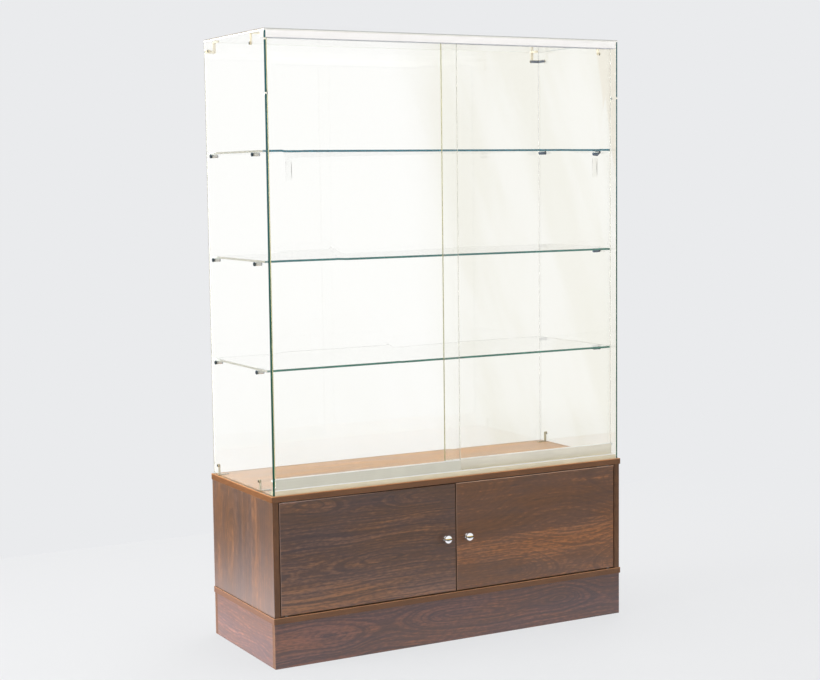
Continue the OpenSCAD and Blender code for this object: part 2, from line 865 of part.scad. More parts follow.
module cupboard_door(right) {
    color(walnut) difference() {
        on_side(right) block([-leaf_x1 + edge_t, leaf_y, leaf_z0 + edge_t],
                             [-leaf_x0 - edge_t, leaf_back, leaf_z1 - edge_t]);
        leaf_cuts(right);
    }
}

module door_edging(right) {
    color(edging) difference() {
        on_side(right) difference() {
            block([-leaf_x1, leaf_y, leaf_z0], [-leaf_x0, leaf_back, leaf_z1]);
            block([-leaf_x1 + edge_t, leaf_y - cut, leaf_z0 + edge_t],
                  [-leaf_x0 - edge_t, leaf_back + cut, leaf_z1 - edge_t]);
        }
        leaf_cuts(right);
    }
}

module hinge_plates(right) {
    color(steel) difference() {
        at_door_pins(right) {
            hinge_plate();
            translate([0, 0, -hinge_t]) cylinder(d = pin_d, h = hinge_t + door_gap + pin_in);
        }
        hinge_screws(right, tight_fit);
    }
}

// Screws that travel with a hinged door: hinge plates, strike plate and knob
module door_screws(right) {
    color(steel) {
        hinge_screws(right);
        strike_screws(right);
        on_side(right) translate([-knob_x, leaf_back, knob_z]) rotate([-90, 0, 0])
            capped_bolt(bolt_d, leaf_t + knob_reach / 2, 2 * bolt_d, cap_t);
    }
}

module strike_plate(right) {
    color(steel) difference() {
        on_side(right) block([-catch_x - catch_l / 2, leaf_back, strike_z - strike_h / 2],
                             [-catch_x + catch_l / 2, leaf_back + strike_t, strike_z + strike_h / 2]);
        strike_screws(right, tight_fit);
    }
}

// Points of an elliptical arc about [cx, cy] from angle a0 to angle a1, in n steps
function arc(cx, cy, rx, ry, a0, a1, n) = [
    for (k = [0:n]) let (a = a0 + (a1 - a0) * k / n) [cx + rx * cos(a), cy + ry * sin(a)]
];

// Mushroom knob turned about Y: a foot, a waisted neck and a domed head
module knob(right) {
    rim = 1.5;
    fillet = 2;
    neck_r = knob_neck_d / 2;
    head_z = knob_reach - knob_head_h;
    flare = knob_d / 2 - neck_r - fillet;
    waist = (head_z - knob_foot_t) / 2;
    profile = concat(
        [[0, 0], [knob_foot_d / 2, 0], [knob_foot_d / 2, knob_foot_t - rim / 2]],
        arc(neck_r + fillet, knob_foot_t + fillet, fillet, fillet, 270, 180, 4),
        arc(neck_r + flare, head_z - waist, flare, waist, 180, 90, 6),
        arc(0, head_z + rim, knob_d / 2, knob_head_h - rim, 0, 90, 10));
    color(chrome) difference() {
        on_side(right) translate([-knob_x, leaf_y, knob_z]) rotate([90, 0, 0])
            rotate_extrude() polygon(profile);
        on_side(right) translate([-knob_x, leaf_y + cut, knob_z]) rotate([90, 0, 0])
            cylinder(r = bolt_d / 2 + tight_fit, h = cut + knob_reach / 2 + end_gap);
    }
}

plinth_long_board(body_y);  // plinth_front_board
plinth_long_board(back_y - board_t);  // plinth_back_board
plinth_side_board(false);  // plinth_left_board
plinth_side_board(true);  // plinth_right_board
cupboard_floor();
slab_edging(floor_z);  // cupboard_floor_edging
cupboard_side(false);  // cupboard_left_side
cupboard_side(true);  // cupboard_right_side
cupboard_divider();
cupboard_back_panel();
base_top();
slab_edging(top_board_z);  // base_top_edging
joint_dowels();
hinge_bushes();
hinge_washers();
catch_bodies();
catch_magnets();
wood_screws();
side_glass(false);  // left_side_glass
side_glass(true);  // right_side_glass
back_glass();
top_glass();
shelf(0);  // lower_shelf
shelf(1);  // middle_shelf
shelf(2);  // upper_shelf
shelf_support_bolts();
shelf_support_pegs();
shelf_support_pads();
base_brackets();
top_brackets();
corner_connectors();
glass_bolts();
top_track();
bottom_track();
door_bumpers();
sliding_glass(false);  // left_sliding_glass
shoe_gasket(false);  // left_shoe_gasket
shoe(false);  // left_shoe
roller_axles(false);  // left_roller_axles
roller(false, false);  // left_outer_roller
roller(false, true);  // left_inner_roller
sliding_glass(true);  // right_sliding_glass
shoe_gasket(true);  // right_shoe_gasket
shoe(true);  // right_shoe
roller_axles(true);  // right_roller_axles
roller(true, false);  // right_outer_roller
roller(true, true);  // right_inner_roller
cupboard_door(false);  // left_cupboard_door
door_edging(false);  // left_door_edging
hinge_plates(false);  // left_hinge_plates
door_screws(false);  // left_door_screws
knob(false);  // left_knob
strike_plate(false);  // left_strike_plate
cupboard_door(true);  // right_cupboard_door
door_edging(true);  // right_door_edging
hinge_plates(true);  // right_hinge_plates
door_screws(true);  // right_door_screws
knob(true);  // right_knob
strike_plate(true);  // right_strike_plate
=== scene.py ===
import json
import math

import bpy
from mathutils import Matrix, Vector


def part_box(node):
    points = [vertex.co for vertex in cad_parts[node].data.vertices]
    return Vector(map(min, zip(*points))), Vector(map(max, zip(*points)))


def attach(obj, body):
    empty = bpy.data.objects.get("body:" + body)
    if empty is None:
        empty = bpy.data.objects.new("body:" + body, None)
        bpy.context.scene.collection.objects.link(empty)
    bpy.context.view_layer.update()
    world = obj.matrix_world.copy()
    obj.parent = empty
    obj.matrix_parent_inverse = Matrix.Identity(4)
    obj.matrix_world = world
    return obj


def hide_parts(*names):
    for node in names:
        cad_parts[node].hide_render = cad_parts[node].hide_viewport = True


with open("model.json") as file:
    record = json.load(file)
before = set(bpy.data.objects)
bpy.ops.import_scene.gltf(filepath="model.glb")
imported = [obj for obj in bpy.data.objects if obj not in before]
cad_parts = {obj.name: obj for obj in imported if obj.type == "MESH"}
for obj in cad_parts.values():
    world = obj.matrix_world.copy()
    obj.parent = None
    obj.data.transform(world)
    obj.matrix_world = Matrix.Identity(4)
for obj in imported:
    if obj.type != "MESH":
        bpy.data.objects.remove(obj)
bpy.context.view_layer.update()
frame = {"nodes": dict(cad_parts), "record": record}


# Camera: it stands left of the case, 4.4 m in front of it and at chest height, and looks
# slightly down. Its lens and turn put the case where the photograph has it.
camera_place = Vector((-2.44992, -4.41177, 1.38437))
yaw, pitch, roll = 0.50095, -0.09757, -0.012075
ahead = Vector(
    (math.sin(yaw) * math.cos(pitch), math.cos(yaw) * math.cos(pitch), math.sin(pitch))
)
level = Vector((math.cos(yaw), -math.sin(yaw), 0))
upright = level.cross(ahead)
across = level * math.cos(roll) + upright * math.sin(roll)
above = upright * math.cos(roll) - level * math.sin(roll)
camera_data = bpy.data.cameras.new("camera")
camera_data.sensor_width = 36
camera_data.lens = 72.486
camera = bpy.data.objects.new("camera", camera_data)
bpy.context.scene.collection.objects.link(camera)
camera.matrix_world = (
    Matrix.Translation(camera_place) @ Matrix((across, above, -ahead)).transposed().to_4x4()
)
bpy.context.scene.camera = camera
bpy.context.scene.view_settings.view_transform = "Standard"


# Floor and backdrop: a plain pale studio floor that keeps a soft shadow round the plinth,
# and a paper wall behind the case that shows through its glass as off-white. The camera,
# glass, satin wood and a sharp mirror at the left pane each see them in their own tone.
def opaque(colour):
    """A colour with full alpha. A wire stays as it is."""
    return colour if isinstance(colour, Wire) else (*colour, 1)


class Wire:
    """One output of a material's nodes. Arithmetic on wires adds Math nodes."""

    def __init__(self, tree, socket=None):
        self.tree = tree
        self.socket = socket

    def add(self, kind, settings, inputs, output=0):
        node = self.tree.nodes.new(kind)
        for key, value in settings.items():
            setattr(node, key, value)
        for key, value in inputs.items():
            if isinstance(value, Wire):
                self.tree.links.new(value.socket, node.inputs[key])
            else:
                node.inputs[key].default_value = value
        return Wire(self.tree, node.outputs[output])

    def math(self, operation, first, second=0.0, clamp=False):
        settings = {"operation": operation, "use_clamp": clamp}
        return self.add("ShaderNodeMath", settings, {0: first, 1: second})

    def __add__(self, other):
        return self.math("ADD", self, other)

    def __sub__(self, other):
        return self.math("SUBTRACT", self, other)

    def __mul__(self, other):
        return self.math("MULTIPLY", self, other)

    def __rsub__(self, other):
        return self.math("SUBTRACT", other, self)

    def __abs__(self):
        return self.math("ABSOLUTE", self)

    def __gt__(self, other):
        return self.math("GREATER_THAN", self, other)

    def __lt__(self, other):
        return self.math("LESS_THAN", self, other)

    __radd__ = __add__
    __rmul__ = __mul__

    def step(self, low, high):
        """0 where this value is below low, 1 above high, and smooth between them."""
        settings = {"interpolation_type": "SMOOTHSTEP"}
        return self.add("ShaderNodeMapRange", settings, {0: self, 1: low, 2: high})

    def blend(self, first, second):
        """The first colour where this value is 0, the second where it is 1."""
        inputs = {0: self, 6: opaque(first), 7: opaque(second)}
        return self.add("ShaderNodeMix", {"data_type": "RGBA"}, inputs, 2)

    def spot(self, output="Object"):
        """A texture coordinate as one vector."""
        return self.add("ShaderNodeTexCoord", {}, {}, output)

    def place(self, output="Object"):
        """The X, Y and Z of a texture coordinate."""
        spot = self.spot(output)
        return [self.add("ShaderNodeSeparateXYZ", {}, {0: spot}, i) for i in range(3)]

    def vector(self, x, y, z):
        return self.add("ShaderNodeCombineXYZ", {}, {0: x, 1: y, 2: z})

    def noise(self, vector, scale, detail=2.0, roughness=0.5):
        inputs = {"Vector": vector, "Scale": scale, "Detail": detail, "Roughness": roughness}
        return self.add("ShaderNodeTexNoise", {}, inputs)

    def bump(self, height, strength, distance):
        inputs = {"Strength": strength, "Distance": distance, "Height": height}
        return self.add("ShaderNodeBump", {}, inputs)

    def ray(self, kind):
        return self.add("ShaderNodeLightPath", {}, {}, f"Is {kind} Ray")

    def choose(self, factor, first, second):
        """The first shader where the factor is 0, the second where it is 1."""
        return self.add("ShaderNodeMixShader", {}, {0: factor, 1: first, 2: second})

    def glow(self, colour):
        return self.add("ShaderNodeEmission", {}, {"Color": opaque(colour)})

    def matt(self, colour):
        return self.add("ShaderNodeBsdfDiffuse", {}, {"Color": opaque(colour)})

    def solid(self, inputs):
        return self.add("ShaderNodeBsdfPrincipled", {}, inputs)

    def end(self, shader, kind="ShaderNodeOutputMaterial"):
        output = self.tree.nodes.new(kind)
        self.tree.links.new(shader.socket, output.inputs["Surface"])


def surface(name):
    """A new material without nodes, and the wire that its nodes are added from."""
    material = bpy.data.materials.new(name)
    material.use_nodes = True
    material.node_tree.nodes.clear()
    return material, Wire(material.node_tree)


def deselect():
    if bpy.context.object and bpy.context.object.mode != "OBJECT":
        bpy.ops.object.mode_set(mode="OBJECT")
    bpy.ops.object.select_all(action="DESELECT")


paper_grey = (0.823, 0.831, 0.847)
paper_white = (1.0, 1.0, 0.995)
paper_cream = (0.885, 0.872, 0.80)
floor_half = 9.0
floor_drop = 0.0005
half_width, half_depth = 0.6, 0.225
floor_matt = (0.62, 0.62, 0.63)
floor_shadow = (0.50, 0.504, 0.51)
floor_in_glass = (0.93, 0.925, 0.90)
shadow_fade = 0.9, 3.2
sheen_front, sheen_left = (1.0, 0.985, 1.0), (1.32, 1.21, 1.26)
sheen_reach = 1.25
dusk_front, dusk_behind, dusk_end = (0.10, 0.085, 0.06), (0.10, 0.10, 0.10), (1.0, 1.0, 1.0)
dusk_fade = 3.0, 4.5

deselect()
bpy.ops.mesh.primitive_plane_add(size=2 * floor_half, location=(0, 0, -floor_drop))
floor = bpy.context.object
floor.name = "floor"
bpy.ops.object.transform_apply()
material, wire = surface("floor_paper")
x, y, z = wire.place()
left_of_case = x < -half_width
far = wire.math("SQRT", x * x + y * y).step(*shadow_fade)
past_x = wire.math("MAXIMUM", abs(x) - half_width, 0.0)
past_y = wire.math("MAXIMUM", abs(y) - half_depth, 0.0) * (1.0 - 0.3 * (y > 0.0))
away = wire.math("SQRT", past_x * past_x + past_y * past_y).step(0.0, sheen_reach)
shadow = wire.matt(floor_shadow)
shown = wire.choose(0.84 + 0.16 * far, shadow, wire.glow(paper_grey))
through = wire.choose(0.8 + 0.2 * far, shadow, wire.glow(floor_in_glass))
dusk = (y > 0.0).blend(dusk_front, dusk_behind)
dusk = (0.0 - y).step(*dusk_fade).blend(dusk, dusk_end)
sheen = left_of_case.blend(sheen_front, sheen_left)
lit = wire.choose(wire.ray("Glossy"), wire.matt(floor_matt), wire.glow(away.blend(sheen, dusk)))
lit = wire.choose(wire.ray("Singular") * left_of_case, lit, through)
lit = wire.choose(wire.ray("Transmission"), lit, through)
wire.end(wire.choose(wire.ray("Camera"), lit, shown))
floor.data.materials.append(material)

wall_y = 1.6
wall_half_height = 4.0
wall_foot_dark = (0.10, 0.10, 0.10)
wall_foot_fade = 0.1, 0.7
strip_tan = (0.85, 0.80, 0.69)
strip_side = 2.150, 2.165

bpy.ops.mesh.primitive_plane_add(size=2, location=(0, 0, 0))
backdrop = bpy.context.object
backdrop.name = "backdrop"
backdrop.scale = (floor_half, wall_half_height, 1)
backdrop.rotation_euler = (math.radians(90), 0, 0)
backdrop.location = (0, wall_y, wall_half_height)
bpy.ops.object.transform_apply()
material, wire = surface("backdrop_paper")
x, y, z = wire.place()
folds = wire.noise(wire.vector(x * 2.6 + z * 0.9, 0.0, z * 0.5), 1.6, 3.0, 0.6)
grit = wire.noise(wire.vector(x, 0.0, z), 26.0, 3.0, 0.7)
shade = (x + 0.12 * z).step(0.95, 1.25) * 0.72 + (0.9 - z).step(0.0, 0.9) * 0.22
folds = folds.step(0.36, 0.64) - 0.5
shade = wire.math("ADD", shade, folds * 0.55 * (shade + 0.08), clamp=True)
shade = wire.math("ADD", shade, (grit - 0.5) * 0.22, clamp=True)
paper = shade.blend(paper_white, paper_cream)
paper = ((x + 0.19 * z).step(*strip_side) * 0.8).blend(paper, strip_tan)
wall_foot = wire.glow(z.step(*wall_foot_fade).blend(wall_foot_dark, paper_white))
lit = wire.choose(wire.ray("Glossy"), wire.glow(paper), wall_foot)
lit = wire.choose(wire.ray("Singular") * (x < -half_width), lit, wire.glow(paper_white))
lit = wire.choose(wire.ray("Transmission"), lit, wire.glow(paper))
lit = wire.choose(wire.ray("Camera"), lit, wire.glow(paper_grey))
clear = wire.add("ShaderNodeBsdfTransparent", {}, {})
behind = wire.add("ShaderNodeNewGeometry", {}, {}, "Backfacing")
wire.end(wire.choose(behind, lit, clear))
backdrop.data.materials.append(material)
backdrop.visible_diffuse = False
backdrop.visible_shadow = False


# Studio light: one broad soft lamp from the left, weaker ones above, in front and behind,
# and an even room. The room looks brighter in gloss and through glass than it lights.
world = bpy.data.worlds.new("room")
bpy.context.scene.world = world
world.use_nodes = True
world.node_tree.nodes.clear()
wire = Wire(world.node_tree)


def room_light(colour, strength):
    inputs = {"Color": opaque(colour), "Strength": strength}
    return wire.add("ShaderNodeBackground", {}, inputs)


room = room_light((1.0, 0.99, 0.98), 0.42)
room = wire.choose(wire.ray("Glossy"), room, room_light((1.0, 1.0, 1.0), 1.0))
room = wire.choose(wire.ray("Transmission"), room, room_light((1.0, 1.0, 0.99), 0.98))
room = wire.choose(wire.ray("Camera"), room, room_light(paper_grey, 1.0))
wire.end(room, "ShaderNodeOutputWorld")


def lamp(name, place, aim, size, power, colour):
    """A soft lamp, size wide and high, turned from its place towards its aim."""
    data = bpy.data.lights.new(name, "AREA")
    data.shape = "RECTANGLE"
    data.size, data.size_y = size
    data.energy = power
    data.color = colour
    made = bpy.data.objects.new(name, data)
    bpy.context.scene.collection.objects.link(made)
    made.location = place
    made.rotation_euler = (Vector(aim) - Vector(place)).to_track_quat("-Z", "Y").to_euler()
    made.visible_glossy = False
    made.visible_transmission = False


lamp(
    "key_lamp", place=(-4.2, 0.2, 1.2), aim=(0, 0, 0.5), size=(2.6, 2.2), power=370,
    colour=(1.0, 0.985, 0.97),
)
lamp(
    "top_lamp", place=(0.3, 0.3, 4.6), aim=(0, 0, 0.5), size=(2.6, 2.2), power=190,
    colour=(1.0, 0.985, 0.96),
)
lamp(
    "front_lamp", place=(1.8, -4.6, 2.0), aim=(0.2, 0, 0.6), size=(2.2, 2.2), power=55,
    colour=(1.0, 0.95, 0.88),
)
lamp(
    "back_lamp", place=(3.6, 3.4, 2.6), aim=(0, 0, 0.7), size=(2.2, 2.2), power=150,
    colour=(1.0, 0.99, 0.97),
)


# Boards: chipboard faced with a satin walnut laminate, its grain along the length of the
# plinth, doors and slabs and upright on the cupboard's sides. Dowels and glue join them.
board_shades = (0.050, 0.029, 0.021), (0.140, 0.066, 0.034), (0.270, 0.122, 0.054)
dim_shades = (0.042, 0.026, 0.022), (0.130, 0.060, 0.034), (0.250, 0.112, 0.050)
ruddy_shades = (0.066, 0.034, 0.020), (0.200, 0.079, 0.030), (0.360, 0.142, 0.048)
# Painted light: the top slab is the same walnut, its shades about three times paler for the light
# falling on the deck's top.
deck_shades_painted_light = (0.27, 0.145, 0.062), (0.45, 0.245, 0.110), (0.59, 0.345, 0.165)
band_dark = (0.075, 0.033, 0.015)
band_light = (0.155, 0.069, 0.028)
plain_cast = (0.90, 0.97, 1.20), (1.10, 1.02, 0.79)
leaf_width = 0.21
ring_width = 0.0052
heart_place = 0.42
cloud_share, streak_share, fibre_share, fleck_share = 0.5, 0.45, 0.75, 0.75
mean_tone = 0.78


def dress(node, material):
    """Gives a CAD node its material."""
    shape = frame["nodes"][node]
    shape.data.materials.clear()
    shape.data.materials.append(material)


def board(
    node, name, order, middle, seed, shades=board_shades, banded=None, coat=1.0, stripes=(),
    cast=plain_cast, gloss=1.5, figure=0.28
):
    """Dresses a board in walnut. order names its axes along the grain, across it and through
    the board, middle is where the middle of a veneer leaf lies across the grain, and banded
    the axis of the faces with edge banding. Stripes are (place, reach, tone) across the
    grain. The cast is a cool and a warm tint, gloss the index of the lacquer, and figure
    how strong the rings show."""
    material, wire = surface(name)
    at = dict(zip("xyz", wire.place()))
    along, side, deep = (at[axis] for axis in order)

    def grain(lengthwise, crosswise, detail, roughness=0.5):
        """Noise with so many grains to the metre along the board and across it."""
        spot = wire.vector(along * lengthwise + seed, side * crosswise, deep * crosswise)
        return wire.noise(spot, 1.0, detail, roughness)

    # Mirrored leaves, each cut past the heart of a log: its rings are long nested arches in
    # the middle of the leaf and straight lines at its sides
    sway = wire.noise(wire.vector(along * 1.9 + seed, side * 3.0, seed), 1.0, 2.0) - 0.5
    heart = heart_place * leaf_width
    leaf = side + sway * 0.06 + (heart - middle + 4 * leaf_width)
    leaf = wire.math("PINGPONG", leaf, leaf_width) - heart
    lean = wire.noise(wire.vector(along * 1.5 + seed, side * 2.2, seed + 3.0), 1.0, 1.0) - 0.5
    wobble = grain(11.0, 40.0, 2.0) - 0.5
    depth = wire.math("SQRT", leaf * leaf + lean * lean * 0.16) + wobble * 0.006
    rings = wire.noise(wire.vector(depth * (1 / ring_width), along * 0.7, seed), 1.0, 1.0, 0.6)
    rings = rings.step(0.33, 0.60)

    streak = wire.vector(along * 1.6 + seed, side * 62.0 + sway * 5.0, deep * 62.0)
    streak = wire.noise(streak, 1.0, 3.0)
    fibre = grain(5.0, 210.0, 3.0, 0.6)
    fleck = grain(55.0, 190.0, 2.0)
    cloud = grain(1.3, 6.0, 2.0, 0.6)
    pore = grain(26.0, 620.0, 1.0).step(0.62, 0.72) * fibre.step(0.40, 0.62)
    tone = cloud * cloud_share + streak * streak_share + fibre * fibre_share
    tone = tone + fleck * fleck_share + rings * figure
    for place, reach, lift in stripes:
        beside = (abs(side - place + sway * 0.05) * (1 / reach)).step(0.0, 1.0)
        tone = tone + (1.0 - beside) * lift
    tone = wire.math("SUBTRACT", tone, mean_tone + 0.5 * figure, clamp=True)
    dark, half, pale = shades
    colour = tone.step(0.5, 1.0).blend(tone.blend(dark, half), pale)
    colour = (pore * 0.5).blend(colour, tuple(0.6 * c for c in dark))
    tint = grain(3.0, 14.0, 3.0, 0.65).step(0.35, 0.65).blend(*cast)
    colour = wire.add("ShaderNodeVectorMath", {"operation": "MULTIPLY"}, {0: colour, 1: tint})
    if banded:
        edge = abs(dict(zip("xyz", wire.place("Normal")))[banded]) > 0.5
        colour = edge.blend(colour, tone.blend(band_dark, band_light))
        coat = (1.0 - edge) * coat
    inputs = {
        "Base Color": colour,
        "Roughness": 0.36 + fibre * 0.10 + pore * 0.12,
        "Normal": wire.bump(fibre * 0.5 + rings * 0.08 - pore * 0.8, 0.22, 0.0006),
        "Coat Weight": coat,
        "Coat Roughness": 0.3,
        "Coat IOR": gloss,
    }
    wire.end(wire.solid(inputs))
    dress(node, material)


plinth_cast = (0.84, 0.73, 1.08), (1.03, 0.80, 0.77)
board(
    "plinth_front_board", "plinth_front_walnut", "xzy", middle=0.075, seed=4.0,
    shades=dim_shades, banded="x", cast=plinth_cast, figure=0.42,
)
board("plinth_back_board", "plinth_back_walnut", "xzy", middle=0.05, seed=9.0, banded="x")
board(
    "plinth_left_board", "plinth_left_walnut", "yzx", middle=0.15, seed=2.0, cast=plinth_cast,
    gloss=1.3,
)
board("plinth_right_board", "plinth_right_walnut", "yzx", middle=0.04, seed=6.0)
board("cupboard_floor", "floor_slab_walnut", "xyz", middle=0.0, seed=3.0)
side_stripes = (-0.093, 0.060, 0.07), (0.031, 0.030, -0.09), (-0.166, 0.030, -0.10)
dusky_cast = (0.78, 0.80, 0.86), (1.03, 0.86, 0.50)
board(
    "cupboard_left_side", "left_side_walnut", "zyx", middle=0.10, seed=1.0, banded="y",
    stripes=side_stripes, cast=dusky_cast, gloss=1.95,
)
board("cupboard_right_side", "right_side_walnut", "zyx", middle=-0.05, seed=5.0, banded="y")
board("cupboard_divider", "divider_walnut", "zyx", middle=0.0, seed=7.0, banded="y")
board("cupboard_back_panel", "back_panel_walnut", "zxy", middle=0.1, seed=8.0)
# The top slab, whose paler shades are painted light on the deck.
board(
    "base_top", "top_slab_walnut", "xyz", middle=0.05, seed=11.0, shades=deck_shades_painted_light, coat=0.2
)
left_stripes = (0.13, 0.20, 0.22), (0.455, 0.10, -0.08)
left_cast = (0.92, 1.01, 1.32), (1.11, 1.05, 0.90)
board(
    "left_cupboard_door", "left_door_walnut", "xzy", middle=0.455, seed=0.0,
    shades=dim_shades, stripes=left_stripes, cast=left_cast, figure=0.33,
)
right_stripes = (0.27, 0.07, 0.24), (0.42, 0.12, -0.05)
board(
    "right_cupboard_door", "right_door_walnut", "xzy", middle=0.19, seed=10.0,
    shades=ruddy_shades, stripes=right_stripes, figure=0.20,
)


# Edging: thin strips of lighter walnut-coloured plastic, glued round the slabs and the
# hinged doors and rounded over with a scraper.
body_of = {
    node: body for body, nodes in frame["record"]["behaviour"]["bodies"].items() for node in nodes
}


def stand_for(piece, node):
    """The piece takes the place and the body of a CAD node, which is hidden."""
    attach(piece, body_of[node])
    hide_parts(node)


crease, corner, flat = math.radians(35), math.radians(40), math.radians(0.5)
merge_distance = 0.00001


def rounded(node, width, materials, segments=2):
    """A copy of a CAD node's shape with its sharp edges rounded off, to stand for it."""
    deselect()
    piece = bpy.data.objects.new(node + "_shape", frame["nodes"][node].data.copy())
    bpy.context.scene.collection.objects.link(piece)
    piece.data.materials.clear()
    for material in materials:
        piece.data.materials.append(material)
    piece.select_set(True)
    bpy.context.view_layer.objects.active = piece
    bpy.ops.object.mode_set(mode="EDIT")
    bpy.ops.mesh.select_all(action="SELECT")
    bpy.ops.mesh.customdata_custom_splitnormals_clear()
    bpy.ops.mesh.remove_doubles(threshold=merge_distance)
    bpy.ops.mesh.dissolve_limited(angle_limit=flat)
    bpy.ops.mesh.normals_make_consistent(inside=False)
    bpy.ops.object.mode_set(mode="OBJECT")
    bpy.ops.object.shade_smooth_by_angle(angle=crease)
    bevel = piece.modifiers.new("rounding", "BEVEL")
    bevel.width = width
    bevel.segments = segments
    bevel.limit_method = "ANGLE"
    bevel.angle_limit = corner
    bevel.harden_normals = True
    bpy.ops.object.modifier_apply(modifier="rounding")
    stand_for(piece, node)
    return piece


def edging(
    name, node, highlight_width, highlight_colour, door=False, lift=1.0, painted_side_shade=band_dark, fade=None
):
    """Edging with a fine grain along X and a painted highlight, a paler band, at the top of the
    node's box. On a door a weaker painted highlight also runs down the left, only the front
    has them, and the rest is painted dark as shade in the gaps. Lift lightens the whole strip,
    painted_side_shade is the painted shade of its faces to the left and right, and fade the
    two places along X between which its highlight dies out."""
    material, wire = surface(name)
    x, y, z = wire.place()
    low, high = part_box(node)
    fibre = wire.noise(wire.vector(x * 6.0, y * 260.0, z * 260.0), 1.0, 3.0, 0.6)
    patch = wire.noise(wire.vector(x * 9.0, y * 4.0, z * 4.0 + low[0]), 1.0, 2.0)
    tone = wire.math("ADD", fibre * 0.8 - 0.15, patch * 0.7 - 0.12, clamp=True)
    dark, light = (tuple(lift * c for c in band) for band in (band_dark, band_light))
    sideways = abs(wire.place("Normal")[0]) > 0.5
    # Painted shade on its faces to the left and right.
    colour = (sideways * 0.55).blend(tone.blend(dark, light), painted_side_shade)
    # Painted highlight: a paler band along the top of the strip, and on a door down its left too.
    highlight = z > high[2] - highlight_width
    if fade:
        highlight = highlight * (1.0 - x.step(*fade))
    if door:
        front = wire.place("Normal")[1] < -0.5
        highlight = wire.math("MAXIMUM", highlight, (x < low[0] + highlight_width) * 0.45) * front
        # Painted shade: every face of a door strip but its front is painted dark, as the gaps
        # round the door.
        colour = front.blend(painted_gap_shade, colour)
    highlight = highlight * (0.55 + 0.45 * patch) * (1.0 - 0.5 * sideways)
    inputs = {
        "Base Color": highlight.blend(colour, highlight_colour),
        "Roughness": 0.34 + 0.12 * patch,
        "Normal": wire.bump(fibre, 0.15, 0.0004),
    }
    wire.end(wire.solid(inputs))
    return material


# Painted shade: the dark of the door edging's faces in the gaps, and below, the colours of the
# slab strips' side faces.
painted_gap_shade = (0.054, 0.036, 0.030)
# Painted highlights: the widths and colours of the pale bands along the tops of the strips and
# down the doors' left edges.
slab_highlight_width, door_highlight_width = 0.0018, 0.0030
slab_round, door_round = 0.0006, 0.0005
top_highlight, top_side_shade = (0.62, 0.27, 0.10), (0.073, 0.023, 0.001)
floor_highlight, floor_side_shade = (0.46, 0.22, 0.10), (0.115, 0.051, 0.0275)
left_highlight, left_fade = (0.86, 0.60, 0.52), (-0.58, -0.14)
right_highlight, right_fade = (0.92, 0.60, 0.44), None
for node, highlight_colour, lift, painted_side_shade in (
    ("cupboard_floor_edging", floor_highlight, 1.25, floor_side_shade),
    ("base_top_edging", top_highlight, 1.33, top_side_shade),
):
    strip = edging(
        node + "_plastic", node, slab_highlight_width, highlight_colour, lift=lift, painted_side_shade=painted_side_shade
    )
    rounded(node, slab_round, [strip])
for node, highlight_colour, fade in (
    ("left_door_edging", left_highlight, left_fade), ("right_door_edging", right_highlight, right_fade),
):
    strip = edging(node + "_plastic", node, door_highlight_width, highlight_colour, door=True, fade=fade)
    rounded(node, door_round, [strip])


# Glass: 6 mm float glass, clear through its faces and teal in its polished edges, which
# are lightly arrissed. The finger pulls of the sliding doors are ground matt.
glass_index = 1.5
lamp_tint = (0.975, 0.98, 0.97)
arris = 0.0004


def clear_glass(name, tint, roughness):
    """Clear glass that lets the light of the lamps through to what stands in it."""
    material, wire = surface(name)
    film = wire.noise(wire.spot(), 3.0, 4.0, 0.6)
    inputs = {
        "Base Color": film.blend(tint, tuple(min(1.0, c * 1.006) for c in tint)),
        "Roughness": roughness,
        "IOR": glass_index,
        "Transmission Weight": 1.0,
    }
    clear = wire.add("ShaderNodeBsdfTransparent", {}, {"Color": opaque(lamp_tint)})
    pane = wire.choose(wire.ray("Diffuse"), wire.solid(inputs), clear)
    wire.end(wire.choose(wire.ray("Shadow"), pane, clear))
    return material


bluer_heights = 1.05, 1.45
rear_start = 0.16, 0.2
glint_cream = (1.0, 0.98, 0.86)
glint_right_x = 0.5885
glint_half = 0.0025
bumper_glint_z, lid_glint_z = 1.623, 1.771


def polished_edge(name, low, high, rear=None, side=None, below=None, glint=False):
    """The edge of the glass, greener towards the base and bluer towards the top. rear is
    its paler colour at the back of the case, for the left and the right half, side that of
    the faces towards the sides, and below the height under which a painted highlight runs
    and its colour. The glint is a pale painted glint: on the inner arris of the right pane,
    beside the upper bumpers, and on the left pane beside the top bracket."""
    material, wire = surface(name)
    x, y, z = wire.place()
    drift = wire.noise(wire.spot(), 3.0, 2.0)
    colour = (z + (drift - 0.5) * 0.6).step(*bluer_heights).blend(low, high)
    if side:
        colour = (abs(wire.place("Normal")[0]) > 0.5).blend(colour, side)
    if below:
        colour = (z < below[0]).blend(colour, below[1])
    if rear:
        colour = y.step(*rear_start).blend(colour, (x > 0.0).blend(*rear))
    if glint:
        at_bumper = abs(z - bumper_glint_z) < glint_half
        at_lid = (abs(z - lid_glint_z) < glint_half) * (x < 0.0)
        pale = wire.math("MAXIMUM", at_bumper, at_lid)
        pale = wire.math("MAXIMUM", pale, (x > 0.0) * (x < glint_right_x))
        colour = ((wire.place("Normal")[1] < -0.5) * pale).blend(colour, glint_cream)
    inputs = {
        "Base Color": colour,
        "Roughness": 0.12 + 0.1 * drift,
        "IOR": glass_index,
        "Specular IOR Level": 0.3,
    }
    wire.end(wire.solid(inputs))
    return material


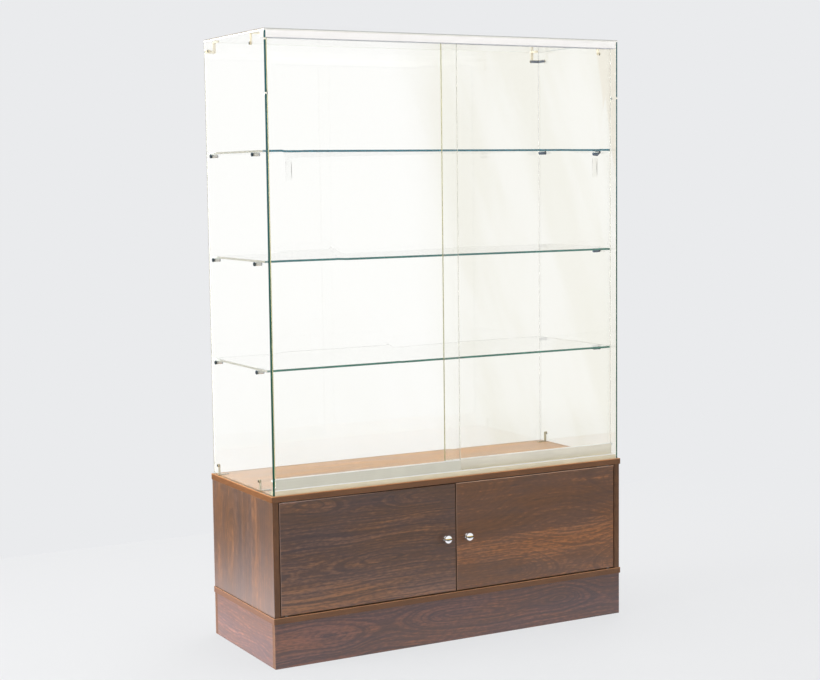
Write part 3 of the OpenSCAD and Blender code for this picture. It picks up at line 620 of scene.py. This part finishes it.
pane_clear = clear_glass("pane_glass", (0.993, 0.994, 0.985), 0.0)
pull_ground = clear_glass("ground_glass", (0.975, 0.98, 0.965), 0.25)
pane_green, pane_blue = (0.012, 0.085, 0.060), (0.014, 0.105, 0.120)
pane_rear = (0.54, 0.54, 0.50), (0.36, 0.36, 0.35)
pane_edge = polished_edge("pane_edge", pane_green, pane_blue, rear=pane_rear, glint=True)
lid_grey = (0.50, 0.51, 0.50)
lid_side = (0.10, 0.075, 0.04)
# Painted highlight: the lower part of the lid's edge is painted pale.
lid_lower_highlight = 1.7978, (0.88, 0.88, 0.85)
lid_edge = polished_edge("lid_edge", lid_grey, lid_grey, side=lid_side, below=lid_lower_highlight)
shelf_green, shelf_blue = (0.010, 0.140, 0.098), (0.008, 0.142, 0.200)
shelf_rear, shelf_side = (0.45, 0.50, 0.47), (0.16, 0.155, 0.12)
shelf_edge = polished_edge(
    "shelf_edge", shelf_green, shelf_blue, rear=(shelf_rear, shelf_rear), side=shelf_side
)
door_edge = polished_edge("door_edge", (0.17, 0.165, 0.08), (0.22, 0.21, 0.11))
far_grey = (0.44, 0.44, 0.41)
far_edge = polished_edge("far_door_edge", far_grey, far_grey)
pull_x, pull_z = 0.5225, 1.411
pull_half_width, pull_half_height = 0.0095, 0.03
facing_limit = 0.9


def glass(node, thin, edge):
    """A pane of glass whose thickness is along the axis thin. A sliding door has its ground
    finger pull and a paler edge on its right as well."""
    sliding = edge is door_edge
    materials = [pane_clear, edge] + ([pull_ground, far_edge] if sliding else [])
    pane = rounded(node, arris, materials, 1)
    face = "xyz".index(thin)
    for polygon in pane.data.polygons:
        x, y, z = polygon.center
        in_pull = abs(z - pull_z) < pull_half_height and abs(abs(x) - pull_x) < pull_half_width
        if abs(polygon.normal[face]) < facing_limit:
            polygon.material_index = 1
        if sliding and in_pull:
            polygon.material_index = 2
        elif sliding and polygon.normal.x > facing_limit:
            polygon.material_index = 3


for node in ("left_side_glass", "right_side_glass"):
    glass(node, "x", pane_edge)
glass("back_glass", "y", pane_edge)
glass("top_glass", "z", lid_edge)
for node in ("lower_shelf", "middle_shelf", "upper_shelf"):
    glass(node, "z", shelf_edge)
for node in ("left_sliding_glass", "right_sliding_glass"):
    glass(node, "y", door_edge)


# Tracks and shoes: extruded aluminium with a satin champagne anodising, cut to length
# and set on the base slab and under the glass top.
wear_lines, pulled_lines = 900.0, 5.0
# Painted highlight: the near-white colour along the top edges of the shoes and the track's lip.
highlight_white = (0.99, 0.99, 0.97)


def metal(
    name, colour, roughness, along=None, wear=0.08, depth=0.00015, bare=1.0, highlight=None,
    shaded=None, ends=None
):
    """Metal with fine lines along one axis, or an even fine wear without one. bare is how
    much of it shows through its anodised or lacquered skin. Above the height highlight it is
    painted near white, a painted highlight, shaded is the height and the start along X of a
    foot painted darker and that foot's colour, and ends the colour of its sawn ends."""
    material, wire = surface(name)
    at = dict(zip("xyz", wire.place()))
    pull = {axis: pulled_lines if axis == along else wear_lines for axis in "xyz"}
    lines = wire.noise(wire.vector(*(at[axis] * pull[axis] for axis in "xyz")), 1.0, 2.0)
    patch = wire.noise(wire.spot(), 14.0, 3.0, 0.6)
    dull = tuple(c * (1 - wear) for c in colour)
    shade = (lines * 0.5 + patch * 0.5).step(0.35, 0.65).blend(dull, colour)
    if highlight:
        shade = (at["z"] > highlight).blend(shade, highlight_white)
    if shaded:
        height, start, dim = shaded
        shade = ((at["z"] < height) * (at["x"] > start)).blend(shade, dim)
    if ends:
        shade = (abs(wire.place("Normal")[0]) > 0.5).blend(shade, ends)
    inputs = {
        "Base Color": shade,
        "Metallic": bare,
        "Roughness": roughness + (patch - 0.5) * 0.08 + (lines - 0.5) * 0.08,
        "Normal": wire.bump(lines, 0.25, depth),
    }
    wire.end(wire.solid(inputs))
    return material


extrusion_round = 0.0003
shoe_ends, lip_ends = (0.30, 0.29, 0.25), (0.30, 0.28, 0.22)
shoe_highlight_depth, lip_highlight_depth = 0.0015, 0.0028
# The right shoe is painted paler than the left: painted light against the shadow the left shoe
# casts on it.
for node, colour in (("left_shoe", (0.75, 0.745, 0.65)), ("right_shoe", (0.90, 0.87, 0.76))):
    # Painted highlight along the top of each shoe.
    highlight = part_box(node)[1][2] - shoe_highlight_depth
    skin = metal(node + "_anodising", colour, 0.42, "x", bare=0.35, highlight=highlight, ends=shoe_ends)
    rounded(node, extrusion_round, [skin])
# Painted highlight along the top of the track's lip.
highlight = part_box("bottom_track")[1][2] - lip_highlight_depth
champagne = metal(
    "champagne_anodising", (0.88, 0.82, 0.63), 0.42, "x", bare=0.35, highlight=highlight, ends=lip_ends
)
rounded("bottom_track", extrusion_round, [champagne])
# Painted shade: a grey line along the foot of the top track, for the shadow under its front lip.
left_of_track, track_line_height = -1.0, 0.0015
track_shade_grey = (0.56, 0.57, 0.62)
track_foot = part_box("top_track")[0][2] + track_line_height
track_painted_shade = track_foot, left_of_track, track_shade_grey
silver = metal(
    "silver_anodising", (1.0, 1.0, 1.0), 0.36, "x", bare=0.15, wear=0.02, shaded=track_painted_shade
)
rounded("top_track", extrusion_round, [silver])


# Clamps and screws: nickel-plated angle strips screwed to the slab and bolted to the
# glass, zinc-plated screws, hinge plates and strike plates.
plate_round = 0.0003
nickel_colour = (0.86, 0.78, 0.60)
plating = {"roughness": 0.26, "depth": 0.00004, "bare": 0.6}
# Painted shade: the base brackets are the same nickel plate as the top ones, painted darker for
# the shade low in the case.
nickel_painted_shade = metal("nickel_plate_painted_shade", (0.42, 0.38, 0.26), **plating)
rounded("base_brackets", plate_round, [nickel_painted_shade])
nickel = metal("nickel_plate", nickel_colour, **plating)
rounded("top_brackets", plate_round, [nickel])
# Painted dark reflection: the lower part of the right connectors is painted grey-blue, a room's
# dark side mirrored in the nickel.
connector_foot_height, connector_dark_reflection = 0.008, (0.14, 0.17, 0.22)
connector_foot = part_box("corner_connectors")[0][2] + connector_foot_height
right_dark_reflection = connector_foot, 0.0, connector_dark_reflection
shaded_nickel = metal("shaded_nickel_plate", nickel_colour, shaded=right_dark_reflection, **plating)
rounded("corner_connectors", plate_round, [shaded_nickel])
zinc = metal("zinc_plate", (0.60, 0.61, 0.63), 0.36)
for node in (
    "wood_screws", "hinge_washers", "catch_magnets", "left_roller_axles", "right_roller_axles",
    "left_hinge_plates", "right_hinge_plates", "left_door_screws", "right_door_screws",
    "left_strike_plate", "right_strike_plate",
):
    dress(node, zinc)


# Knobs: turned brass, chromed and polished, each held by a screw through its door. Their
# colour carries a painted reflection: the dark warm band of a room's far side.
chrome, wire = surface("polished_chrome")
tilt = wire.place("Normal")[2]
wear = wire.noise(wire.spot(), 300.0, 2.0)
# Painted reflection: a band round each knob's middle, warm above and nearly black below.
band = 1.0 - (abs(tilt - 0.08) * 4.2).step(0.3, 1.0)
painted_reflection_colour = tilt.step(-0.02, 0.20).blend((0.05, 0.06, 0.05), (0.66, 0.48, 0.13))
inputs = {
    "Base Color": band.blend((0.93, 0.95, 0.98), painted_reflection_colour),
    "Metallic": 1.0,
    "Roughness": 0.06 + 0.06 * wear,
}
wire.end(wire.solid(inputs))


def turned(name, outline, sides):
    """A turned solid about Z: a disc carried from each (radius, height) to the next."""
    deselect()
    radius, height = outline[0]
    bpy.ops.mesh.primitive_circle_add(
        vertices=sides, radius=radius, fill_type="NGON", location=(0, 0, height)
    )
    piece = bpy.context.object
    piece.name = name
    bpy.ops.object.transform_apply()
    bpy.ops.object.mode_set(mode="EDIT")
    bpy.ops.mesh.select_all(action="SELECT")
    for next_radius, next_height in outline[1:]:
        bpy.ops.mesh.extrude_region_move(
            TRANSFORM_OT_translate={"value": (0, 0, next_height - height)}
        )
        share = next_radius / radius
        bpy.ops.transform.resize(value=(share, share, 1), center_override=(0, 0, next_height))
        radius, height = next_radius, next_height
    bpy.ops.mesh.select_all(action="SELECT")
    bpy.ops.mesh.normals_make_consistent(inside=False)
    bpy.ops.object.mode_set(mode="OBJECT")
    bpy.ops.object.shade_smooth_by_angle(angle=crease)
    return piece


def copies(first, name, places):
    """One object made of copies of a piece, one at each place. The first piece goes."""
    deselect()
    made = []
    for place in places:
        copy = bpy.data.objects.new(name, first.data.copy())
        bpy.context.scene.collection.objects.link(copy)
        copy.matrix_world = place
        copy.select_set(True)
        made.append(copy)
    bpy.data.objects.remove(first)
    bpy.context.view_layer.objects.active = made[0]
    bpy.ops.object.transform_apply()
    if len(made) > 1:
        bpy.ops.object.join()
    bpy.ops.object.mode_set(mode="EDIT")
    bpy.ops.mesh.select_all(action="SELECT")
    bpy.ops.mesh.normals_make_consistent(inside=False)
    bpy.ops.object.mode_set(mode="OBJECT")
    made[0].name = name
    return made[0]


knob_x, knob_z = 0.037, 0.314
door_face_y = -0.2105
facing = Matrix.Rotation(math.radians(90), 4, "X")
cap_radius, cap_height, rim_height = 0.013, 0.0093, 0.0167
knob_outline = [
    (0.0085, 0.0), (0.0085, 0.0018), (0.0080, 0.0028), (0.0064, 0.0032), (0.0055, 0.0042),
    (0.0050, 0.0060), (0.0050, 0.0085), (0.0056, 0.0110), (0.0072, 0.0134), (0.0098, 0.0149),
    (0.0122, 0.0152), (0.0129, 0.0158), (0.0130, rim_height),
]
for degrees in range(12, 85, 12):
    turn = math.radians(degrees)
    knob_outline.append((cap_radius * math.cos(turn), rim_height + cap_height * math.sin(turn)))
knob_outline.append((0.0004, 0.026))
for side, x in (("left", -knob_x), ("right", knob_x)):
    knob = turned("knob_blank", knob_outline, 64)
    knob.data.materials.append(chrome)
    place = Matrix.Translation((x, door_face_y, knob_z)) @ facing
    stand_for(copies(knob, side + "_knob_shape", [place]), side + "_knob")


# Caps and pegs: chromed caps on the bolts outside the glass, and turned pegs inside it
# that carry the shelves on soft clear pads.
outer_x, inner_x = 0.593, 0.587
support_ys = (-0.1115, 0.1965)
lid_bolt_ys = (-0.1115, 0.1975)
peg_zs = (0.8405, 1.1485, 1.4565)
lid_z, case_z, deck_z, back_y = 1.794, 1.800, 0.498, 0.2325
angle_rise, connector_x = 0.029, 0.559
small_sides = 32
support_cap_radius, support_cap_height = 0.006, 0.003
both = (-1, 1)


def cap_outline(radius, height):
    """A domed cap with a round recess for a pin key, and its bolt below the face."""
    return [
        (0.55 * radius, -0.0055), (0.55 * radius, 0.0), (0.96 * radius, 0.0),
        (radius, 0.1 * height), (radius, 0.55 * height), (0.95 * radius, 0.8 * height),
        (0.84 * radius, 0.95 * height), (0.7 * radius, height), (0.42 * radius, height),
        (0.38 * radius, 0.96 * height), (0.36 * radius, 0.45 * height),
        (0.02 * radius, 0.4 * height),
    ]


def outward(side, y, z, x=outer_x):
    """Turns a cap to point out of the left or right pane."""
    quarter_turn = Matrix.Rotation(side * math.radians(90), 4, "Y")
    return Matrix.Translation((side * x, y, z)) @ quarter_turn


# Painted reflection: chrome painted nearly black, for a dark room mirrored in the caps.
chrome_painted_dark = metal("chrome_painted_dark", (0.055, 0.090, 0.115), 0.16, wear=0.1, depth=0.00003)
cap = turned("cap_blank", cap_outline(support_cap_radius, support_cap_height), small_sides)
cap.data.materials.append(chrome_painted_dark)
places = [outward(s, y, z) for s in both for y in support_ys for z in peg_zs]
stand_for(copies(cap, "shelf_support_caps", places), "shelf_support_bolts")

bolt_cap_radius, bolt_cap_height = 0.005, 0.0025
# Painted reflection: the middle of each glass bolt cap's dome takes the dark chrome.
dark_reflection_radius, dark_reflection_height = 0.0041, 0.0005
cap_nickel = metal("cap_nickel", (0.80, 0.72, 0.52), 0.2, depth=0.00003, bare=0.8)
cap = turned("cap_blank", cap_outline(bolt_cap_radius, bolt_cap_height), small_sides)
cap.data.materials.append(cap_nickel)
cap.data.materials.append(chrome_painted_dark)
for polygon in cap.data.polygons:
    x, y, z = polygon.center
    if math.hypot(x, y) < dark_reflection_radius and z > dark_reflection_height:
        polygon.material_index = 1
backward = Matrix.Rotation(math.radians(-90), 4, "X")
places = [outward(s, y, deck_z + angle_rise) for s in both for y in support_ys]
places += [outward(s, y, lid_z - angle_rise) for s in both for y in lid_bolt_ys]
places += [
    Matrix.Translation((s * connector_x, y, case_z)) for s in both for y in lid_bolt_ys
]
places += [
    Matrix.Translation((s * connector_x, back_y, lid_z - angle_rise)) @ backward for s in both
]
stand_for(copies(cap, "glass_bolt_caps", places), "glass_bolts")

peg_dull, peg_bright, peg_dark_reflection = (0.42, 0.41, 0.36), (0.55, 0.53, 0.46), (0.05, 0.08, 0.13)
peg_flat, peg_tip = 0.0035, 0.0165
peg_outline = [
    (0.0025, 0.0), (0.0055, 0.0), (0.0055, 0.0015), (0.0049, 0.0019), (0.0049, 0.0027),
    (0.0055, 0.0031), (0.0055, 0.0188), (0.0051, 0.0196), (0.0043, 0.0200), (0.0002, 0.0200),
]
peg = turned("peg_blank", peg_outline, small_sides)
peg_chrome, wire = surface("peg_chrome")
x, y, z = wire.place()
wear = wire.noise(wire.spot(), 300.0, 2.0)
# Painted reflection: the tips of the pegs and all of the right pegs are painted dark, for dark
# surroundings mirrored in them.
tip_or_right = wire.math("MAXIMUM", abs(x) < inner_x - peg_tip, x > 0.0)
inputs = {
    "Base Color": tip_or_right.blend(wear.blend(peg_dull, peg_bright), peg_dark_reflection),
    "Metallic": 0.8,
    "Roughness": 0.18 + 0.1 * wear,
}
wire.end(wire.solid(inputs))
peg.data.materials.append(peg_chrome)
bpy.ops.object.mode_set(mode="EDIT")
bpy.ops.mesh.select_all(action="SELECT")
bpy.ops.mesh.bisect(
    plane_co=(peg_flat, 0, 0), plane_no=(1, 0, 0), use_fill=True, clear_outer=True,
    clear_inner=False,
)
bpy.ops.object.mode_set(mode="OBJECT")


def inward(side, y, z):
    """Turns a peg to point into the case, with its flat on top."""
    turn = Matrix(((0, 0, -side, 0), (0, 1, 0, 0), (1, 0, 0, 0), (0, 0, 0, 1)))
    return Matrix.Translation((side * inner_x, y, z)) @ turn


places = [inward(s, y, z) for s in both for y in support_ys for z in peg_zs]
stand_for(copies(peg, "shelf_support_peg_shapes", places), "shelf_support_pegs")


# Soft plastics: the pads on the pegs, the bumpers that stop the doors, the clear gaskets
# that hold the door glass in its shoe, and the nylon bushes, catches and rollers.
def plastic(name, colour, roughness, clear=0.0):
    """Moulded plastic with a faint grain. clear is how much light passes through it."""
    material, wire = surface(name)
    grain = wire.noise(wire.spot(), 900.0, 2.0)
    patch = wire.noise(wire.spot(), 40.0, 2.0)
    inputs = {
        "Base Color": patch.blend(tuple(0.93 * c for c in colour), colour),
        "Roughness": roughness + 0.1 * (patch - 0.5),
        "Transmission Weight": clear,
        "Normal": wire.bump(grain, 0.2, 0.0001),
    }
    wire.end(wire.solid(inputs))
    return material


soft_clear = plastic("soft_clear", (0.80, 0.85, 0.85), 0.32, clear=0.55)
gasket = plastic("gasket_clear", (0.96, 0.97, 0.96), 0.30, clear=0.1)
nylon_black = plastic("black_nylon", (0.035, 0.033, 0.032), 0.45)
nylon_white = plastic("white_nylon", (0.82, 0.82, 0.78), 0.42)
pad_round = 0.0005
rounded("shelf_support_pads", pad_round, [soft_clear])
dress("left_shoe_gasket", gasket)
dress("right_shoe_gasket", gasket)
dress("hinge_bushes", nylon_black)
dress("catch_bodies", nylon_black)
for node in ("left_outer_roller", "left_inner_roller", "right_outer_roller", "right_inner_roller"):
    dress(node, nylon_white)

bumper_outline = [
    (0.004, 0.0), (0.004, 0.0016), (0.0037, 0.0026), (0.0029, 0.0034), (0.0017, 0.0039),
    (0.0002, 0.004),
]
left_bumper_y, right_bumper_y = -0.1987, -0.1837
bumper_zs = (0.541, 1.623)
bumper = turned("bumper_blank", bumper_outline, small_sides)
bumper.data.materials.append(soft_clear)
places = [
    outward(-s, y, z, -inner_x)
    for s, y in zip(both, (left_bumper_y, right_bumper_y)) for z in bumper_zs
]
stand_for(copies(bumper, "door_bumper_domes", places), "door_bumpers")


# Dowels: fluted beech, glued into holes in the edges and faces of the boards, where the
# closed joints hide them.
beech_dark, beech_light = (0.46, 0.30, 0.16), (0.66, 0.47, 0.28)
beech, wire = surface("beech")
fleck = wire.noise(wire.spot(), 300.0, 2.0)
inputs = {"Base Color": fleck.blend(beech_dark, beech_light), "Roughness": 0.6}
wire.end(wire.solid(inputs))
dress("joint_dowels", beech)
